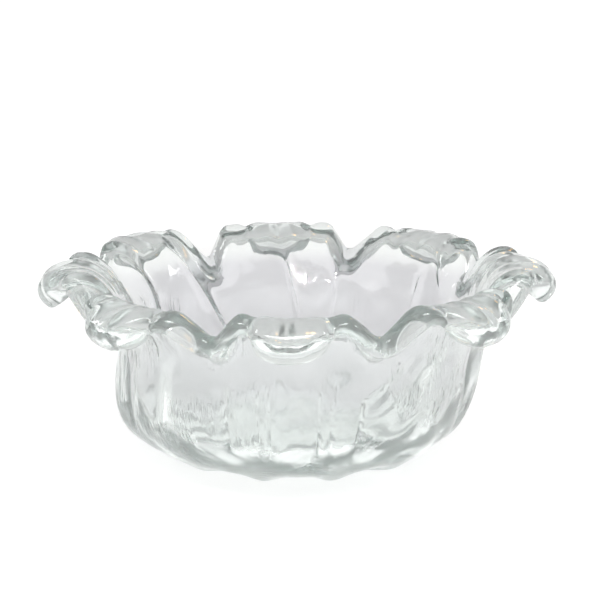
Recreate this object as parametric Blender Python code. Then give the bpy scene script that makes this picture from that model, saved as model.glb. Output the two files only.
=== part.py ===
"""Clear glass bowl with eight petals at the rim, each curled outward and down into a tongue.

One piece of thick, hand-worked glass. The wall is a centre line in a radial plane, given by a few
control points, and a thickness. Three centre lines are mixed round the rim: one for the valley
between two petals, one for a petal's shoulder and one for its tongue. Metres, +Z up, the front
petal towards -Y.
"""

import math

import bmesh
import bpy
import numpy as np

MM = 0.001

# Driving sizes, in millimetres and degrees
CREST_HEIGHT = 104.5        # wall centre at a petal's crest, as the centre lines below are drawn
PETAL_HALF = 22.5           # half of one petal's share of the circle
TONGUE_HALF = 10.0          # half width of a tongue, in the same measure
TONGUE_SQUARE = 2.2         # 2 draws a tongue as a parabola, more makes it squarer
TONGUE_CORNER = 0.08        # how softly the tongue's side runs into the shoulder
VALLEY_FLAT = 0.4           # half width of the level bottom of a valley
CREASE_DEPTH = 2.0          # fold down the middle of each petal
CREASE_WIDTH = 3.0
CREASE_SHARP = 1.2          # 2 draws the fold as a hollow, 1 as a sharp line
THICKEST_ON_SLOPE = 1.35    # most that the wall gains where it climbs from a valley

RIB_COUNT = 12
FIRST_RIB = 15.0            # azimuth of the first rib
RIDGE_RISE = 1.76           # a rib's ridge, out of the wall
RIDGE_FROM = (8.0, 22.0)    # heights between which the ribs and the panels start and end
RIBS_END = (60.0, 80.0)
PANEL_DEPTH = 0.66          # the panels between two ribs, into the wall
RIDGE_SHARP = 2.5           # 1 draws the ribs as a wave, more as narrow ridges
PANEL_START = 20.0          # height of a panel's lower end, at its middle
PANEL_ROUND = 7.0           # how much higher that end lies beside a rib
PANEL_EDGE = 8.0
FRONT_PINCH = 7.0           # angle by which the two front ribs close up, up the wall
PINCH_WIDTH = 22.0
PINCH_TURNS = 8.0
PINCH_FROM = (14.0, 34.0)
WALL_FROM = (40.0, 60.0)    # radii between which the base turns into the wall
LOBE_RADIUS = 68.0          # where the ribs end as lobes of the foot
LOBE_WIDTH = 9.0
LOBE_REACH = 2.4
LOBE_LIFT = 1.6             # mean lift of the foot's edge off the ground
LOBE_DROP = 1.9             # how far a lobe comes down again under a rib
LOBES_END = (14.0, 30.0)
SIDE_LEAN = 1.8             # the belly sits towards -X, and the neck under the rim towards +X

AZIMUTHS = 144
BASE_ROWS = 3
WALL_ROWS = 6
RIM_ROWS = 9
EDGE_ROWS = 3               # rows that round the rim from the outer face to the inner

GLASS_COLOUR = (0.80, 0.86, 0.83, 1.0)
GLASS_ROUGHNESS = 0.02
GLASS_IOR = 1.5

# One row per petal, counter-clockwise from above, starting at the front: azimuth of the valley
# before it, lean of its middle, crest height, extra drop of its tongue, lift of the valley
# before it, and the half width of its level crest. Hand work leaves no two alike.
PETALS = np.array([
    (-21.8, -2.2, 104.8, -1.6, 0.0, 12.0),
    (21.5, 0.5, 106.0, 1.0, 0.0, 12.5),
    (67.5, 0.0, 107.5, 2.5, 0.0, 12.5),
    (117.0, 0.0, 103.5, 0.0, -2.0, 12.5),
    (164.4, -0.5, 103.5, 0.0, -0.8, 14.0),
    (208.1, 0.0, 105.5, 0.0, -3.8, 10.5),
    (252.0, 0.0, 107.5, 3.0, -2.0, 12.5),
    (293.5, -1.0, 102.0, -1.5, 0.0, 12.5),
])
VALLEY_AT, LEAN, CREST, DROP, LIFT, SHOULDER_HALF = range(6)

# Centre lines: radius, height, thickness
BODY = np.array([
    (0.0, 7.6, 15.6),
    (20.0, 7.6, 15.6),
    (42.0, 7.0, 15.6),
    (63.0, 9.4, 13.4),
    (81.5, 15.8, 10.4),
    (92.5, 28.5, 7.6),
    (96.5, 44.0, 6.0),
    (96.8, 59.0, 5.2),
    (97.5, 70.0, 5.0),
])
VALLEY = np.array([
    (99.3, 75.1, 5.6),
    (101.6, 78.8, 6.6),
    (104.4, 81.7, 8.0),
    (107.0, 83.7, 9.4),
    (109.2, 85.1, 10.6),
    (111.2, 86.0, 11.2),
    (113.0, 86.5, 11.4),
])
SHOULDER = np.array([
    (99.3, 79.4, 5.6),
    (103.0, 88.8, 6.2),
    (108.3, 96.2, 7.2),
    (113.3, 100.1, 8.2),
    (117.3, 101.4, 9.0),
    (120.4, 101.3, 9.4),
    (122.8, 100.5, 9.6),
])
TONGUE = np.array([
    (99.3, 80.4, 5.6),
    (103.5, 92.2, 6.0),
    (111.4, 101.1, 6.8),
    (124.0, 103.0, 7.4),
    (136.2, 99.7, 7.6),
    (139.4, 91.9, 7.8),
    (134.6, 87.4, 8.0),
])
DROP_SHARE = np.array([0.0, 0.0, 0.0, 0.0, 0.4, 0.8, 1.0])
CREASE_DOWN = np.array([0.0, 0.0, 0.5, 1.0, 0.7, 0.3, 0.0])
CREASE_INWARD = np.array([0.0, 0.0, 0.0, 0.0, 0.3, 0.8, 1.0])
BODY_LEAN = np.array([0.0, 0.0, 0.0, 0.6, 1.8, 1.7, 0.7, -0.6, -1.4])
RIM_LEAN = np.array([-1.2, -0.6, 0.0, 0.0, 0.0, 0.0, 0.0])
LEAN_SHARE = np.concatenate([BODY_LEAN, RIM_LEAN])

BASE_END = 3.0              # the flat base ends at this control point
WALL_END = float(len(BODY) - 1)
RIM_END = float(len(BODY) + len(VALLEY) - 1)


def ease(low, high, value):
    """0 below low, 1 above high, and a smooth step between."""
    t = np.clip((value - low) / (high - low), 0.0, 1.0)
    return t * t * (3.0 - 2.0 * t)


def petal_phase(azimuth):
    """Petal number, signed angle from its middle and number of the nearer valley."""
    first = PETALS[0, VALLEY_AT]
    turned = (azimuth - first) % 360.0 + first
    ends = np.append(PETALS[:, VALLEY_AT], first + 360.0)
    petal = np.clip(np.searchsorted(ends, turned, side="right") - 1, 0, len(PETALS) - 1)
    before, after = ends[petal], ends[petal + 1]
    middle = (before + after) / 2.0 + PETALS[petal, LEAN]
    half = np.where(turned < middle, middle - before, after - middle)
    phase = (turned - middle) / half * PETAL_HALF
    nearer = np.where(phase > 0.0, (petal + 1) % len(PETALS), petal)
    return petal, phase, nearer


def rim_controls(azimuth):
    """The rim's control points at each azimuth, mixed from valley, shoulder and tongue."""
    petal, phase, nearer = petal_phase(azimuth)
    across = np.abs(phase)
    risen = 1.0 - ease(PETALS[petal, SHOULDER_HALF], PETAL_HALF - VALLEY_FLAT, across)
    arch = 1.0 - (across / TONGUE_HALF) ** TONGUE_SQUARE
    curled = (arch + np.sqrt(arch ** 2 + TONGUE_CORNER)) / (1.0 + math.sqrt(1.0 + TONGUE_CORNER))
    curled = curled * risen
    points = (VALLEY
              + risen[:, None, None] * (SHOULDER - VALLEY)
              + curled[:, None, None] * (TONGUE - SHOULDER))
    lift = (PETALS[petal, CREST] - CREST_HEIGHT) * risen + PETALS[nearer, LIFT] * (1.0 - risen)
    points[..., 1] += np.linspace(0.3, 1.0, len(VALLEY)) * lift[:, None]
    points[..., 1] -= DROP_SHARE * (PETALS[petal, DROP] * curled)[:, None]
    crease = CREASE_DEPTH * np.exp(-(across / CREASE_WIDTH) ** CREASE_SHARP) * curled
    points[..., 1] -= CREASE_DOWN * crease[:, None]
    points[..., 0] -= CREASE_INWARD * crease[:, None]
    return points


def wall_controls(azimuth):
    """Control points from the middle of the base to the rim, at each azimuth."""
    body = np.broadcast_to(BODY, (len(azimuth),) + BODY.shape)
    points = np.concatenate([body, rim_controls(azimuth)], axis=1)
    points[..., 0] -= SIDE_LEAN * np.sin(np.radians(azimuth))[:, None] * LEAN_SHARE
    return points


def smooth_line(controls, places):
    """Uniform cubic B-spline through both end points."""
    first = 2.0 * controls[:, :1] - controls[:, 1:2]
    last = 2.0 * controls[:, -1:] - controls[:, -2:-1]
    padded = np.concatenate([first, controls, last], axis=1)
    segment = np.minimum(places.astype(int), controls.shape[1] - 2)
    t = (places - segment)[:, None]
    weights = (
        (1.0 - t) ** 3 / 6.0,
        (3.0 * t ** 3 - 6.0 * t ** 2 + 4.0) / 6.0,
        (-3.0 * t ** 3 + 3.0 * t ** 2 + 3.0 * t + 1.0) / 6.0,
        t ** 3 / 6.0,
    )
    return sum(weight * padded[:, segment + i] for i, weight in enumerate(weights))


def row_places():
    """Where the rows lie along the centre line: few on the base, close on the rim."""
    base = np.linspace(0.0, BASE_END, BASE_ROWS, endpoint=False)
    wall = np.linspace(BASE_END, WALL_END, WALL_ROWS, endpoint=False)
    rim = np.linspace(WALL_END, RIM_END, RIM_ROWS)
    return np.concatenate([base, wall, rim])


def outer_relief(azimuth, radius, height):
    """Ribs and panels on the outside, the lobes of the foot, and the ground under the base."""
    rib = np.cos(np.radians(RIB_COUNT * (azimuth - FIRST_RIB)))[:, None]
    from_front = ((azimuth + 180.0) % 360.0 - 180.0)[:, None]
    pinch = FRONT_PINCH * np.sin(np.radians(PINCH_TURNS * from_front))
    pinch = pinch * np.exp(-(from_front / PINCH_WIDTH) ** 2) * ease(*PINCH_FROM, height)
    turned = azimuth[:, None] + pinch - FIRST_RIB
    ridge = (0.5 + 0.5 * np.cos(np.radians(RIB_COUNT * turned))) ** RIDGE_SHARP
    panel = (1.0 - ridge) * ease(0.0, PANEL_EDGE, height - PANEL_START - PANEL_ROUND * ridge)
    on_wall = (1.0 - ease(*RIBS_END, height)) * ease(*WALL_FROM, radius)
    rise = RIDGE_RISE * ridge * ease(*RIDGE_FROM, height) - PANEL_DEPTH * panel
    radius = radius + rise * on_wall
    on_foot = np.exp(-((radius - LOBE_RADIUS) / LOBE_WIDTH) ** 2) * (1.0 - ease(*LOBES_END, height))
    radius = radius + LOBE_REACH * rib * on_foot
    height = height + (LOBE_LIFT - LOBE_DROP * rib) * on_foot
    return radius, np.maximum(height, 0.0)


def bowl_rows():
    """Radius and height of every row of the skin, outer face first, then edge, then inner."""
    azimuth = np.arange(AZIMUTHS) * 360.0 / AZIMUTHS
    places = row_places()
    line = smooth_line(wall_controls(azimuth), places)
    radius, height, thick = line[..., 0], line[..., 1], line[..., 2]
    along_r = np.gradient(radius, places, axis=1)
    along_z = np.gradient(height, places, axis=1)
    length = np.hypot(along_r, along_z)
    along_r, along_z = along_r / length, along_z / length
    out_r, out_z = along_z, -along_r

    # A wall that climbs from a valley would be thin across its slope, so it gains some thickness
    step = 2.0 * math.radians(360.0 / AZIMUTHS)
    turn_r = (np.roll(radius, -1, 0) - np.roll(radius, 1, 0)) / step
    turn_z = (np.roll(height, -1, 0) - np.roll(height, 1, 0)) / step
    slope = (turn_r * out_r + turn_z * out_z) / np.maximum(radius, 1.0)
    most = THICKEST_ON_SLOPE - 1.0
    gain = most * (1.0 - np.exp((1.0 - np.sqrt(1.0 + slope ** 2)) / most))
    half = thick / 2.0 * (1.0 + gain)

    outer = outer_relief(azimuth, radius + out_r * half, height + out_z * half)
    inner = (radius - out_r * half)[:, ::-1], (height - out_z * half)[:, ::-1]
    turn = np.linspace(0.0, math.pi, EDGE_ROWS + 2)[1:-1]
    edge_r = radius[:, -1:] + half[:, -1:] * (out_r[:, -1:] * np.cos(turn) + along_r[:, -1:] * np.sin(turn))
    edge_z = height[:, -1:] + half[:, -1:] * (out_z[:, -1:] * np.cos(turn) + along_z[:, -1:] * np.sin(turn))
    rows_r = np.concatenate([outer[0], edge_r, inner[0]], axis=1)
    rows_z = np.concatenate([outer[1], edge_z, inner[1]], axis=1)
    return np.radians(azimuth), rows_r, rows_z


def bowl_mesh():
    """The closed skin, centred over the middle of its own outline."""
    azimuth, radius, height = bowl_rows()
    points = np.stack([radius * np.sin(azimuth)[:, None],
                       -radius * np.cos(azimuth)[:, None],
                       height], axis=-1)
    corners = points.reshape(-1, 3)
    middle = (corners.min(axis=0) + corners.max(axis=0)) / 2.0
    points = (points - (middle[0], middle[1], 0.0)) * MM
    last = points.shape[1] - 1

    mesh = bmesh.new()
    under = mesh.verts.new(points[:, 0].mean(axis=0))
    floor = mesh.verts.new(points[:, last].mean(axis=0))
    grid = [[mesh.verts.new(point) for point in points[i, 1:last]] for i in range(AZIMUTHS)]
    for i, here in enumerate(grid):
        following = grid[(i + 1) % AZIMUTHS]
        mesh.faces.new((under, here[0], following[0]))
        mesh.faces.new((floor, following[-1], here[-1]))
        for j in range(len(here) - 1):
            mesh.faces.new((here[j], here[j + 1], following[j + 1], following[j]))
    bmesh.ops.recalc_face_normals(mesh, faces=mesh.faces)
    data = bpy.data.meshes.new("bowl")
    mesh.to_mesh(data)
    mesh.free()
    for face in data.polygons:
        face.use_smooth = True
    return data


def glass_material():
    """Clear glass, faintly green where it is thick."""
    material = bpy.data.materials.new("clear_glass")
    material.use_nodes = True
    shader = material.node_tree.nodes["Principled BSDF"]
    shader.inputs["Base Color"].default_value = GLASS_COLOUR
    shader.inputs["Roughness"].default_value = GLASS_ROUGHNESS
    shader.inputs["Metallic"].default_value = 0.0
    shader.inputs["IOR"].default_value = GLASS_IOR
    shader.inputs["Transmission Weight"].default_value = 1.0
    material.diffuse_color = GLASS_COLOUR
    return material


def main():
    for thing in list(bpy.data.objects):
        bpy.data.objects.remove(thing, do_unlink=True)
    bowl = bpy.data.objects.new("bowl", bowl_mesh())
    bowl.data.materials.append(glass_material())
    bpy.context.collection.objects.link(bowl)


main()
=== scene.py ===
# A clear glass bowl, blown thick and worked by hand: ribbed body, ground base, and a rim of eight
# petals, each pulled out and curled down. The bowl is one piece of glass.
import math

import bpy
import numpy as np
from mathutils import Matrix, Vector


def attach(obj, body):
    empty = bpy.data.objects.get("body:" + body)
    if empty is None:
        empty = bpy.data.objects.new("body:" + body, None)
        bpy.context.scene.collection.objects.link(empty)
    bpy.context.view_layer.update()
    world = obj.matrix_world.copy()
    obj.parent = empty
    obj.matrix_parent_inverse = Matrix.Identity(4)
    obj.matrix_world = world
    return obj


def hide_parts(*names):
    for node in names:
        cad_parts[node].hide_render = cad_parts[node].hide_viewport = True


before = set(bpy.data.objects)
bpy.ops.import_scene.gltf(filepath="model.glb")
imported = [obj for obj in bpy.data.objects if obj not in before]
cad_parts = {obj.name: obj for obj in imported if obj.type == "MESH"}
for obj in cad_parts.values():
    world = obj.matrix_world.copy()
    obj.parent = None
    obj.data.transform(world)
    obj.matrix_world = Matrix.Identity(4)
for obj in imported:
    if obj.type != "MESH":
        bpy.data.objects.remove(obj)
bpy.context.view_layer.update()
mm = 0.001
print("frame loaded")


def toLinear(hexColour):
    parts = [int(hexColour[i:i + 2], 16) / 255 for i in (0, 2, 4)]
    return [c / 12.92 if c <= 0.04045 else ((c + 0.055) / 1.055) ** 2.4 for c in parts] + [1.0]


def addNode(tree, kind, settings=None, links=None):
    node = tree.nodes.new(kind)
    for name, value in (settings or {}).items():
        if name in node.inputs:
            node.inputs[name].default_value = value
        else:
            setattr(node, name, value)
    for name, source in (links or {}).items():
        tree.links.new(source, node.inputs[name])
    return node


def ease(low, high, value):
    t = np.clip((value - low) / (high - low), 0, 1)
    return t * t * (3 - 2 * t)


# lengths in millimetres, angles in degrees; azimuth 0 is the front petal, towards -Y
bowlForm = {
    "bowlHeight": 108.0,
    "crestHeight": 104.5,      # middle of the wall at a crest, as the centre lines are drawn
    "petalHalf": 22.5,         # half a petal in its own degrees, the same for wide and narrow ones
    "valleyFlat": 0.4,         # half width of the level bottom of a valley
    "tongueHalf": 10.0,
    "tongueSquare": 2.2,       # 2 gives a pointed tongue, more a squarer one
    "tongueCorner": 0.08,      # how softly the tongue starts
    "liftStart": 0.3,          # share of a petal's lift at the foot of its rim
    "creaseDepth": 2.0,        # the fold that the tongs leave down the middle of each petal
    "creaseWidth": 3.0,
    "creaseSharp": 1.2,        # 2 gives a round hollow, 1 a sharp line
    "biteDepth": 3.0,          # where the tongs have bitten, at the two corners of each tongue
    "biteAt": 9.6,
    "biteWidth": 1.3,
    "drawDepth": 0.55,         # long ridges that the pull leaves along each petal
    "drawWidth": 6.3,
    "drawShift": 1.7,          # radians by which they move from one petal to the next
    "coverScale": 0.996,       # the skin stays a hair inside the plain solid's outline
    "thickestOnSlope": 1.35,
    "ribCount": 12,
    "firstRib": 15.0,
    "ribHeight": 1.1,
    "ridgeSharp": 2.5,
    "ridgeOut": 1.6,
    "hollowIn": 0.6,           # the panels between the ribs
    "hollowFrom": 20.0,
    "hollowBow": 7.0,          # their lower edge bows up by this much beside a rib
    "hollowSoft": 8.0,
    "ribsFrom": 8.0,           # heights between which the ribs come up, and fade again
    "ribsFull": 22.0,
    "ribsFade": 60.0,
    "ribsEnd": 80.0,
    "baseEdge": 40.0,          # radii between which the flat base gives way to the wall
    "wallEdge": 60.0,
    "frontPinch": 7.0,         # degrees by which the two front ribs close up, up the wall
    "pinchTurn": 8.0,          # waves of that pull in a full turn, dying out to the sides
    "pinchReach": 22.0,
    "pinchFrom": 14.0,
    "pinchFull": 34.0,
    "lobeRadius": 68.0,        # the ribs end as lobes round the foot
    "lobeWidth": 9.0,
    "lobeReach": 2.4,
    "lobeLift": 1.6,
    "lobeDrop": 1.9,
    "lobesFade": 14.0,
    "lobesEnd": 30.0,
    "sideLean": 1.8,
    "toolSharp": 1.3,
    "toolSoft": 6.0,           # a tool line fades in and out over this height each way
    "toolInside": 0.9,         # share of a tool line's depth that shows on the inner face
    "insideFrom": 16.0,        # the inner face: where its waves come up, and fade again
    "insideFull": 30.0,
    "insideFade": 70.0,
    "insideEnd": 86.0,
    "insideTurn": 1.9,         # its waves don't follow the outer ones
    "azimuths": 720,
    "baseSteps": 3,            # steps of the centre line that the flat base takes
    "baseRows": 6,
    "wallRows": 24,
    "rimRows": 34,
    "edgeRows": 9,
}

# one petal a row, from the front, counter-clockwise from above: azimuth of the valley before it,
# lean, crest height, extra drop of the tongue, lift of that valley, half width of the level crest
petals = np.array([
    (-21.8, -2.2, 104.8, -1.6, 0.0, 12.0),
    (21.5, 0.5, 106.0, 1.0, 0.0, 12.5),
    (67.5, 0.0, 107.5, 2.5, 0.0, 12.5),
    (117.0, 0.0, 103.5, 0.0, -2.0, 12.5),
    (164.4, -0.5, 103.5, 0.0, -0.8, 14.0),
    (208.1, 0.0, 105.5, 0.0, -3.8, 10.5),
    (252.0, 0.0, 107.5, 3.0, -2.0, 12.5),
    (293.5, -1.0, 102.0, -1.5, 0.0, 12.5),
])
valleyAt, petalLean, petalCrest, tongueDrop, valleyLift, crestFlat = petals.T

# centre lines of the wall: radius, height, thickness
bodyLine = np.array([
    (0.0, 7.6, 15.6), (20.0, 7.6, 15.6), (42.0, 7.0, 15.6), (63.0, 9.4, 13.4), (81.5, 15.8, 10.4),
    (92.5, 28.5, 7.6), (96.5, 44.0, 6.0), (96.8, 59.0, 5.2), (97.5, 70.0, 5.0),
])
valleyLine = np.array([
    (99.3, 75.1, 5.6), (101.6, 78.8, 6.6), (104.4, 81.7, 8.0), (107.0, 83.7, 9.4),
    (109.2, 85.1, 10.6), (111.2, 86.0, 11.2), (113.0, 86.5, 11.4),
])
shoulderLine = np.array([
    (99.3, 79.4, 5.6), (103.0, 88.8, 6.2), (108.3, 96.2, 7.2), (113.3, 100.1, 8.2),
    (117.3, 101.4, 9.0), (120.4, 101.3, 9.4), (122.8, 100.5, 9.6),
])
tongueLine = np.array([
    (99.3, 80.4, 5.6), (103.5, 92.2, 6.0), (111.4, 101.1, 6.8), (124.0, 103.0, 7.4),
    (136.2, 99.7, 7.6), (139.4, 91.9, 7.8), (134.6, 87.4, 8.0),
])

# how much each point of the rim's centre line takes of a change, from the wall out to the edge
liftShare = np.linspace(bowlForm["liftStart"], 1, len(valleyLine))
dropShare = np.array([0, 0, 0, 0, 0.4, 0.8, 1])
creaseDown = np.array([0, 0, 0.5, 1, 0.7, 0.3, 0])
creaseInward = np.array([0, 0, 0, 0, 0.3, 0.8, 1])
drawnShare = np.array([0, 0.2, 0.7, 1, 1, 1, 0.6])
biteShare = np.array([0, 0, 0, 0, 0.5, 1, 1])

# the body stands out a little to one side, and the neck under the rim to the other
leanShare = np.array([0, 0, 0, 0.6, 1.8, 1.7, 0.7, -0.6, -1.4, -1.2, -0.6, 0, 0, 0, 0, 0])


def petalPhase(azimuth):
    first = valleyAt[0]
    turned = (azimuth - first) % 360 + first
    ends = np.append(valleyAt, first + 360)
    petal = np.clip(np.searchsorted(ends, turned, side="right") - 1, 0, len(petals) - 1)
    before, after = ends[petal], ends[petal + 1]
    middle = (before + after) / 2 + petalLean[petal]
    half = np.where(turned < middle, middle - before, after - middle)
    phase = (turned - middle) / half * bowlForm["petalHalf"]
    nearer = np.where(phase > 0, (petal + 1) % len(petals), petal)
    return petal, phase, nearer


def wallControls(azimuth):
    form = bowlForm
    petal, phase, nearer = petalPhase(azimuth)
    across = np.abs(phase)
    risen = 1 - ease(crestFlat[petal], form["petalHalf"] - form["valleyFlat"], across)
    arch = 1 - (across / form["tongueHalf"]) ** form["tongueSquare"]
    corner = form["tongueCorner"]
    curled = risen * (arch + np.sqrt(arch ** 2 + corner)) / (1 + math.sqrt(1 + corner))
    rim = (valleyLine + risen[:, None, None] * (shoulderLine - valleyLine)
           + curled[:, None, None] * (tongueLine - shoulderLine))
    lift = (petalCrest[petal] - form["crestHeight"]) * risen + valleyLift[nearer] * (1 - risen)
    crease = form["creaseDepth"] * np.exp(-(across / form["creaseWidth"]) ** form["creaseSharp"]) * curled
    rim[..., 1] += liftShare * lift[:, None]
    rim[..., 1] -= dropShare * (tongueDrop[petal] * curled)[:, None]
    rim[..., 1] -= creaseDown * crease[:, None]
    rim[..., 0] -= creaseInward * crease[:, None]
    body = np.broadcast_to(bodyLine, (len(azimuth),) + bodyLine.shape)
    line = np.concatenate([body, rim], axis=1)
    ridgePhase = 2 * math.pi * phase / form["drawWidth"] + form["drawShift"] * petal
    drawn = form["drawDepth"] * np.cos(ridgePhase) * risen
    line[:, len(bodyLine):, 2] += drawn[:, None] * drawnShare
    bite = form["biteDepth"] * np.exp(-((across - form["biteAt"]) / form["biteWidth"]) ** 2)
    line[:, len(bodyLine):, 2] -= bite[:, None] * biteShare
    line[..., 0] -= form["sideLean"] * np.sin(np.radians(azimuth))[:, None] * leanShare
    return line


def smoothLine(controls, places):      # uniform cubic b-spline through both ends
    padded = np.concatenate([2 * controls[:, :1] - controls[:, 1:2], controls,
                             2 * controls[:, -1:] - controls[:, -2:-1]], axis=1)
    segment = np.minimum(places.astype(int), controls.shape[1] - 2)
    t = (places - segment)[:, None]
    weights = ((1 - t) ** 3 / 6, (3 * t ** 3 - 6 * t ** 2 + 4) / 6,
               (-3 * t ** 3 + 3 * t ** 2 + 3 * t + 1) / 6, t ** 3 / 6)
    return sum(weight * padded[:, segment + i] for i, weight in enumerate(weights))


# where the tool has drawn a line down the wall: azimuth at its low and its high end, the heights
# of those ends, depth in mm, half width in degrees
toolLines = np.array([
    (-21.0, -20.5, 28, 66, 1.0, 1.3), (-11.5, -11.0, 26, 68, 0.9, 1.0), (-8.0, -8.2, 26, 66, 0.9, 1.0),
    (6.0, 6.0, 28, 66, 0.9, 1.0), (9.6, 9.0, 28, 62, 0.9, 1.0), (17.5, 19.0, 26, 62, 1.0, 1.3),
    (21.0, 34.0, 56, 76, 0.9, 1.8), (44.0, 48.0, 30, 62, 0.5, 2.4), (66.0, 64.0, 28, 72, 0.7, 2.0),
    (88.0, 91.0, 26, 76, 0.8, 1.8), (109.0, 107.0, 26, 74, 0.8, 1.8), (125.5, 130.5, 78, 96, 2.0, 1.2),
    (139.0, 135.0, 54, 82, 1.4, 1.2), (155.0, 152.0, 30, 78, 0.6, 1.6), (169.8, 166.5, 44, 78, 1.7, 1.2),
    (178.5, 184.5, 42, 86, 1.8, 1.2), (194.0, 193.0, 30, 66, 0.6, 1.6), (206.0, 222.0, 42, 92, 2.3, 1.8),
    (236.5, 242.5, 58, 92, 1.8, 1.3), (257.0, 259.0, 24, 74, 0.8, 1.8), (279.0, 277.0, 26, 74, 0.8, 1.8),
    (297.0, 291.0, 26, 66, 1.3, 1.6), (318.5, 318.0, 30, 64, 0.7, 2.0),
])

# slow waves that the hot glass keeps: turns round the bowl, waves up its height, start, height in mm
slowWaves = ((5, 1.3, 0.4, 0.30), (9, -2.1, 2.2, 0.22), (14, 3.2, 5.1, 0.14), (22, -4.4, 1.3, 0.08))


def toolRelief(azimuth, height):
    cut = np.zeros_like(height)
    soft = bowlForm["toolSoft"]
    for start, end, low, high, depth, width in toolLines:
        middle = start + (end - start) * (height - low) / (high - low)
        away = (azimuth[:, None] - middle + 180) % 360 - 180
        ends = ease(low - soft, low + soft, height) * (1 - ease(high - soft, high + soft, height))
        cut += depth * np.exp(-(np.abs(away) / width) ** bowlForm["toolSharp"]) * ends
    return cut


def slowRelief(azimuth, height, turn):
    turned = np.radians(azimuth)[:, None]
    waves = np.zeros_like(height)
    for around, up, start, tall in slowWaves:
        climb = up * 2 * math.pi * height / bowlForm["bowlHeight"]
        waves += tall * np.sin(around * turned + climb + start + turn)
    return waves


def outerRelief(azimuth, radius, height):
    form = bowlForm
    rib = np.cos(np.radians(form["ribCount"] * (azimuth - form["firstRib"])))[:, None]
    fromFront = ((azimuth + 180) % 360 - 180)[:, None]
    closing = np.sin(np.radians(form["pinchTurn"] * fromFront)) * np.exp(-(fromFront / form["pinchReach"]) ** 2)
    pinch = form["frontPinch"] * closing
    turned = azimuth[:, None] + pinch * ease(form["pinchFrom"], form["pinchFull"], height)
    ribAngle = np.radians(form["ribCount"] * (turned - form["firstRib"]))
    ridge = (0.5 + 0.5 * np.cos(ribAngle)) ** form["ridgeSharp"]
    hollowStart = form["hollowFrom"] + form["hollowBow"] * ridge
    hollow = form["hollowIn"] * (1 - ridge) * ease(0, form["hollowSoft"], height - hollowStart)
    rising = ease(form["ribsFrom"], form["ribsFull"], height)
    offBase = ease(form["baseEdge"], form["wallEdge"], radius)
    onWall = (1 - ease(form["ribsFade"], form["ribsEnd"], height)) * offBase
    panels = form["ridgeOut"] * ridge * rising - hollow
    waves = slowRelief(azimuth, height, 0) * rising
    radius = radius + (form["ribHeight"] * panels + waves) * onWall - toolRelief(azimuth, height) * offBase
    nearFoot = np.exp(-((radius - form["lobeRadius"]) / form["lobeWidth"]) ** 2)
    onFoot = nearFoot * (1 - ease(form["lobesFade"], form["lobesEnd"], height))
    radius = radius + form["lobeReach"] * rib * onFoot
    height = height + (form["lobeLift"] - form["lobeDrop"] * rib) * onFoot
    return radius, np.maximum(height, 0)


def bowlSkin():
    form = bowlForm
    azimuth = np.arange(form["azimuths"]) * 360 / form["azimuths"]
    wallEnd = len(bodyLine) - 1
    rimEnd = wallEnd + len(valleyLine)
    baseEnd = form["baseSteps"]
    places = np.concatenate([
        np.linspace(0, baseEnd, form["baseRows"], endpoint=False),
        np.linspace(baseEnd, wallEnd, form["wallRows"], endpoint=False),
        np.linspace(wallEnd, rimEnd, form["rimRows"]),
    ])
    line = smoothLine(wallControls(azimuth), places)
    radius, height, thick = line[..., 0], line[..., 1], line[..., 2]
    alongR, alongZ = np.gradient(radius, places, axis=1), np.gradient(height, places, axis=1)
    length = np.hypot(alongR, alongZ)
    alongR, alongZ = alongR / length, alongZ / length
    outR, outZ = alongZ, -alongR
    step = 2 * math.radians(360 / form["azimuths"])
    turnR = (np.roll(radius, -1, 0) - np.roll(radius, 1, 0)) / step
    turnZ = (np.roll(height, -1, 0) - np.roll(height, 1, 0)) / step
    slope = (turnR * outR + turnZ * outZ) / np.maximum(radius, 1)
    gain = form["thickestOnSlope"] - 1      # never more than this, and reached softly
    half = thick / 2 * (1 + gain * (1 - np.exp((1 - np.sqrt(1 + slope ** 2)) / gain)))
    outer = outerRelief(azimuth, radius + outR * half, height + outZ * half)
    turn = np.linspace(0, math.pi, form["edgeRows"] + 2)[1:-1]
    endHalf = half[:, -1:]
    edgeR = radius[:, -1:] + endHalf * (outR[:, -1:] * np.cos(turn) + alongR[:, -1:] * np.sin(turn))
    edgeZ = height[:, -1:] + endHalf * (outZ[:, -1:] * np.cos(turn) + alongZ[:, -1:] * np.sin(turn))
    innerR, innerZ = radius - outR * half, height - outZ * half
    rising = ease(form["insideFrom"], form["insideFull"], innerZ)
    onWall = rising * (1 - ease(form["insideFade"], form["insideEnd"], innerZ))
    innerR = innerR + slowRelief(azimuth, innerZ, form["insideTurn"]) * onWall
    innerR = innerR + form["toolInside"] * toolRelief(azimuth, innerZ) * rising
    rowsR = np.concatenate([outer[0], edgeR, innerR[:, ::-1]], axis=1)
    rowsZ = np.concatenate([outer[1], edgeZ, innerZ[:, ::-1]], axis=1)
    turned = np.radians(azimuth)[:, None]
    points = np.stack([rowsR * np.sin(turned), -rowsR * np.cos(turned), rowsZ], axis=-1)
    low, high = points.reshape(-1, 3).min(axis=0), points.reshape(-1, 3).max(axis=0)
    points -= (low + high) / 2 * (1, 1, 0)      # the foot stays on the floor
    points *= form["coverScale"]
    return points * mm


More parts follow.
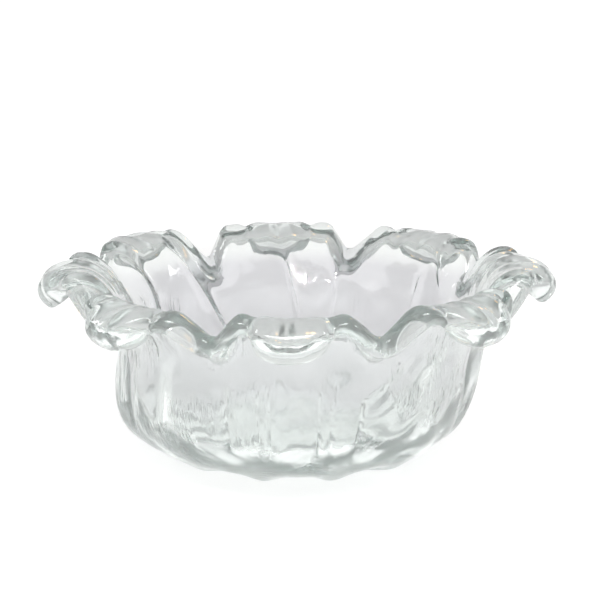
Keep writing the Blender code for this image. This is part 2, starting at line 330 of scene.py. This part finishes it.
def buildBowl():
    points = bowlSkin()
    around, rows = points.shape[0], points.shape[1] - 2
    grid = points[:, 1:-1].reshape(-1, 3)      # the end rows close up to one point each
    corners = np.concatenate([grid, [points[:, 0].mean(axis=0)], [points[:, -1].mean(axis=0)]])
    under, floorPoint = len(grid), len(grid) + 1
    here = np.arange(around)
    following = (here + 1) % around
    a = (here[:, None] * rows + np.arange(rows - 1)).ravel()
    b = (following[:, None] * rows + np.arange(rows - 1)).ravel()
    quads = np.stack([b, b + 1, a + 1, a], axis=1)
    faces = quads.tolist()
    faces += [(under, following[i] * rows, i * rows) for i in here]
    faces += [(floorPoint, i * rows + rows - 1, following[i] * rows + rows - 1) for i in here]
    mesh = bpy.data.meshes.new("bowlGlass")
    mesh.from_pydata(corners.tolist(), [], faces)
    mesh.polygons.foreach_set("use_smooth", [True] * len(mesh.polygons))
    mesh.update()
    bowl = bpy.data.objects.new("bowlGlass", mesh)
    bpy.context.collection.objects.link(bowl)
    return bowl


bowl = buildBowl()
print("bowl skin made:", len(bowl.data.polygons), "faces")


# soda-lime glass, blown thick and fire-polished: bright, clear lips with a faint sea green that
# gathers where light goes a long way through them, over a softly clouded and finely drawn wall
glassLook = {
    "body": "f3f5f4",
    "clear": 0.94,             # the rest is the milky bloom of a hand-worked, often wiped surface
    "tint": "b8dfd2",
    "density": 4.1,            # per metre
    "ior": 1.52,
    "skin": 0.18,              # the outermost skin is smooth, so the highlights stay crisp
    "roughness": 0.10,         # the wall is softly clouded, the rim bright from the flame
    "rimRoughness": 0.035,
    "rimFrom": 72.0,           # mm up the bowl
    "rimTo": 92.0,
    "footRoughness": 0.24,
    "footEnd": 26.0,
    "backFrom": 60.0,          # mm from the middle to where the back wall starts
    "backShare": 0.5,          # the back wall is this much less cloudy and has painted shade in it: grey painted into its colour, under the curl
    "paintedBackShade": "dfdfe2",          # and has a grey breath in it, under the curl
    "underRimFull": 84.0,
    "underRimEnd": 93.0,
    "waveSize": 9.0,           # mm between the slow ripples that hand work leaves
    "waveDepth": 0.08,         # mm
    "streakSize": 2.4,         # mm across the fine lines drawn up the wall
    "streakStretch": 0.09,     # they run about eleven times as far up as they are wide
    "streakTwist": 0.4,
    "streakDepth": 0.55,       # mm, deeper than the real scratches, so that they show
    "patchSize": 20.0,         # mm between the patches that carry them
    "patchFrom": 0.5,
    "patchFull": 0.66,
}


def glassMaterial(name):
    look = glassLook
    material = bpy.data.materials.new(name)
    material.use_nodes = True
    tree = material.node_tree
    shader = tree.nodes["Principled BSDF"]
    for socket, value in {"Base Color": toLinear(look["body"]), "Roughness": look["roughness"],
                          "IOR": look["ior"], "Transmission Weight": look["clear"],
                          "Coat Weight": look["skin"], "Coat Roughness": 0.0,
                          "Coat IOR": look["ior"]}.items():
        shader.inputs[socket].default_value = value
    place = addNode(tree, "ShaderNodeTexCoord")
    apart = addNode(tree, "ShaderNodeSeparateXYZ", None, {"Vector": place.outputs["Object"]})
    underRim = addNode(tree, "ShaderNodeMapRange",
                       {"From Min": look["underRimEnd"] * mm, "From Max": look["underRimFull"] * mm},
                       {"Value": apart.outputs["Z"]})

    # ripples all over, and patches of fine lines drawn up the wall
    ripple = addNode(tree, "ShaderNodeTexNoise", {"Scale": 1 / (look["waveSize"] * mm), "Detail": 1.0},
                     {"Vector": place.outputs["Object"]})
    relief = addNode(tree, "ShaderNodeBump", {"Strength": 1.0, "Distance": look["waveDepth"] * mm},
                     {"Height": ripple.outputs["Fac"]})
    stretched = addNode(tree, "ShaderNodeMapping", {"Scale": (1, 1, look["streakStretch"])},
                        {"Vector": place.outputs["Object"]})
    streak = addNode(tree, "ShaderNodeTexNoise",
                     {"Scale": 1 / (look["streakSize"] * mm), "Detail": 2.0, "Distortion": look["streakTwist"]},
                     {"Vector": stretched.outputs["Vector"]})
    patch = addNode(tree, "ShaderNodeTexNoise", {"Scale": 1 / (look["patchSize"] * mm), "Detail": 0.0},
                    {"Vector": place.outputs["Object"]})
    worked = addNode(tree, "ShaderNodeMapRange", {"From Min": look["patchFrom"], "From Max": look["patchFull"]},
                     {"Value": patch.outputs["Fac"]})
    drawn = addNode(tree, "ShaderNodeMath", {"operation": "MULTIPLY"},
                    {0: streak.outputs["Fac"], 1: worked.outputs["Result"]})
    onWall = addNode(tree, "ShaderNodeMath", {"operation": "MULTIPLY"},
                     {0: drawn.outputs["Value"], 1: underRim.outputs["Result"]})
    scored = addNode(tree, "ShaderNodeBump", {"Strength": 1.0, "Distance": look["streakDepth"] * mm},
                     {"Height": onWall.outputs["Value"], "Normal": relief.outputs["Normal"]})
    tree.links.new(scored.outputs["Normal"], shader.inputs["Normal"])

    # cloudiness: most at the foot, least at the rim, and less in the back wall
    cloud = addNode(tree, "ShaderNodeMapRange",
                    {"From Min": look["rimFrom"] * mm, "From Max": look["rimTo"] * mm,
                     "To Min": look["roughness"], "To Max": look["rimRoughness"]},
                    {"Value": apart.outputs["Z"]})
    footCloud = addNode(tree, "ShaderNodeMapRange",
                        {"From Min": 0.0, "From Max": look["footEnd"] * mm,
                         "To Min": look["footRoughness"] - look["roughness"], "To Max": 0.0},
                        {"Value": apart.outputs["Z"]})
    clouds = addNode(tree, "ShaderNodeMath", {"operation": "ADD"},
                     {0: cloud.outputs["Result"], 1: footCloud.outputs["Result"]})
    clearing = addNode(tree, "ShaderNodeMapRange",
                       {"From Min": 0.0, "From Max": look["backFrom"] * mm,
                        "To Min": 1.0, "To Max": look["backShare"]},
                       {"Value": apart.outputs["Y"]})
    worn = addNode(tree, "ShaderNodeMath", {"operation": "MULTIPLY"},
                   {0: clouds.outputs["Value"], 1: clearing.outputs["Result"]})
    tree.links.new(worn.outputs["Value"], shader.inputs["Roughness"])

    # painted shade: grey painted into the back wall's colour, under the curl
    backWall = addNode(tree, "ShaderNodeMapRange", {"From Min": 0.0, "From Max": look["backFrom"] * mm},
                      {"Value": apart.outputs["Y"]})
    paintedShadeMask = addNode(tree, "ShaderNodeMath", {"operation": "MULTIPLY"},
                   {0: backWall.outputs["Result"], 1: underRim.outputs["Result"]})
    # mixes the body colour with the painted grey shade, by the mask above
    shade = addNode(tree, "ShaderNodeMix", {"data_type": "RGBA"}, {0: paintedShadeMask.outputs["Value"]})
    shade.inputs[6].default_value = toLinear(look["body"])      # 6 and 7 are its two colours
    shade.inputs[7].default_value = toLinear(look["paintedBackShade"])
    tree.links.new(shade.outputs[2], shader.inputs["Base Color"])

    absorb = addNode(tree, "ShaderNodeVolumeAbsorption",
                     {"Color": toLinear(look["tint"]), "Density": look["density"]})
    tree.links.new(absorb.outputs["Volume"], tree.nodes["Material Output"].inputs["Volume"])
    return material


bowl.data.materials.append(glassMaterial("firePolishedSodaLimeGlass"))
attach(bowl, "root")
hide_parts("bowl")
print("glass made")


# metres, watts and degrees
studio = {
    "floorSize": 24.0,
    "floorDrop": 0.0002,        # the paper lies a hair under the foot
    "floorColour": "f4f4f4",
    "floorRoughness": 0.9,
    "tableGlow": 0.34,          # the paper lies on a light table
    "zenith": 0.76,             # the room: pale, a little darker low down, to the sides
    "horizon": 0.56,            # and behind the camera
    "sideShade": 0.7,
    "sideFrom": 0.4,
    "sideFull": 0.95,
    "cameraSide": 0.5,
    "cameraSideFrom": -0.82,
    "cameraSideFull": -0.97,
    "keyPower": 2.8,
    "keyAngle": 1.5,
    "keyElevation": 12.6,
    "leftPower": 2.2,
    "rightPower": 1.6,
    "warmPower": 0.25,
    "warmColour": "ffc876",
    "frontPower": 3.0,
    "frontSpread": 70.0,
    "underPower": 0.02,         # a small lamp in the table, right under the base
    "lampAim": 0.08,
    "cameraDistance": 1.0428,
    "cameraElevation": 13.5,
    "aimX": 0.0011,
    "aimHeight": 0.0851,
    "lens": 115.0,
    "sensor": 36.0,
}


def buildFloor():
    half, low = studio["floorSize"] / 2, -studio["floorDrop"]
    mesh = bpy.data.meshes.new("studioFloor")
    mesh.from_pydata([(-half, -half, low), (half, -half, low), (half, half, low), (-half, half, low)],
                     [], [(0, 1, 2, 3)])
    floor = bpy.data.objects.new("studioFloor", mesh)
    bpy.context.collection.objects.link(floor)
    paper = bpy.data.materials.new("mattPaperSweep")      # even, bright and without a sheen
    paper.use_nodes = True
    sheet = paper.node_tree.nodes["Principled BSDF"]
    sheet.inputs["Base Color"].default_value = toLinear(studio["floorColour"])
    sheet.inputs["Roughness"].default_value = studio["floorRoughness"]
    sheet.inputs["Emission Color"].default_value = (1, 1, 1, 1)
    sheet.inputs["Emission Strength"].default_value = studio["tableGlow"]
    mesh.materials.append(paper)


def buildRoom():
    world = bpy.data.worlds.new("studioRoom")
    bpy.context.scene.world = world
    world.use_nodes = True
    tree = world.node_tree
    place = addNode(tree, "ShaderNodeTexCoord")
    split = addNode(tree, "ShaderNodeSeparateXYZ", None, {"Vector": place.outputs["Generated"]})
    climb = addNode(tree, "ShaderNodeMapRange",
                    {"From Min": 0.0, "From Max": 1.0, "To Min": studio["horizon"], "To Max": studio["zenith"]},
                    {"Value": split.outputs["Z"]})
    behind = addNode(tree, "ShaderNodeMapRange",
                     {"From Min": studio["cameraSideFull"], "From Max": studio["cameraSideFrom"],
                      "To Min": studio["cameraSide"], "To Max": 1.0},
                     {"Value": split.outputs["Y"]})
    shade = addNode(tree, "ShaderNodeMath", {"operation": "MULTIPLY"},
                    {0: climb.outputs["Result"], 1: behind.outputs["Result"]})
    sideways = addNode(tree, "ShaderNodeMath", {"operation": "ABSOLUTE"}, {0: split.outputs["X"]})
    sides = addNode(tree, "ShaderNodeMapRange",
                    {"From Min": studio["sideFrom"], "From Max": studio["sideFull"],
                     "To Min": 1.0, "To Max": studio["sideShade"]},
                    {"Value": sideways.outputs["Value"]})
    both = addNode(tree, "ShaderNodeMath", {"operation": "MULTIPLY"},
                   {0: shade.outputs["Value"], 1: sides.outputs["Result"]})
    background = tree.nodes["Background"]
    background.inputs["Color"].default_value = (1, 1, 1, 1)
    tree.links.new(both.outputs["Value"], background.inputs["Strength"])


def addLamp(name, place, aim, size, power, colour="ffffff", spread=180, shape="RECTANGLE"):
    light = bpy.data.lights.new(name, "AREA")
    light.shape = shape
    light.size, light.size_y = size
    light.energy = power
    light.spread = math.radians(spread)
    light.color = toLinear(colour)[:3]
    lamp = bpy.data.objects.new(name, light)
    lamp.location = place
    lamp.rotation_euler = (Vector(aim) - Vector(place)).to_track_quat("-Z", "Y").to_euler()
    bpy.context.collection.objects.link(lamp)


def addKey():      # a far lamp over the camera whitens the floor, and its shadow falls behind the bowl
    key = bpy.data.lights.new("farKey", "SUN")
    key.energy = studio["keyPower"]
    key.angle = math.radians(studio["keyAngle"])
    lamp = bpy.data.objects.new("farKey", key)
    lamp.rotation_euler = (math.radians(90 - studio["keyElevation"]), 0, 0)
    bpy.context.collection.objects.link(lamp)


def buildCamera():
    rise = math.radians(studio["cameraElevation"])
    aim = Vector((studio["aimX"], 0, studio["aimHeight"]))
    data = bpy.data.cameras.new("photoCamera")
    data.lens = studio["lens"]
    data.sensor_width = studio["sensor"]
    data.clip_start, data.clip_end = 0.05, 60
    camera = bpy.data.objects.new("photoCamera", data)
    camera.location = aim + studio["cameraDistance"] * Vector((0, -math.cos(rise), math.sin(rise)))
    camera.rotation_euler = (aim - camera.location).to_track_quat("-Z", "Y").to_euler()
    bpy.context.collection.objects.link(camera)
    bpy.context.scene.camera = camera


buildFloor()
buildRoom()
addKey()
middle = (0, 0, studio["lampAim"])
addLamp("leftWindow", (-1.5, 0.5, 0.9), middle, (0.22, 0.5), studio["leftPower"])
addLamp("rightWindow", (1.6, 0.2, 0.8), middle, (0.2, 0.45), studio["rightPower"])
addLamp("warmLamp", (0.55, 1.1, 0.75), middle, (0.12, 0.12), studio["warmPower"], studio["warmColour"])
addLamp("frontFill", (0, -0.42, 0.55), (0, -0.42, 0), (0.8, 0.35), studio["frontPower"],
        spread=studio["frontSpread"])
addLamp("underLamp", (0, 0, -0.0001), (0, 0, 1), (0.17, 0.17), studio["underPower"], shape="ELLIPSE")
buildCamera()
print("studio set")

scene = bpy.context.scene
scene.view_settings.view_transform = "Standard"
# light runs a long way inside a thick lip before it comes out: with fewer bounces the lips go black
scene.cycles.max_bounces = 64
scene.cycles.transmission_bounces = 48
scene.cycles.glossy_bounces = 56
scene.cycles.use_denoising = True
scene.cycles.sample_clamp_indirect = 3
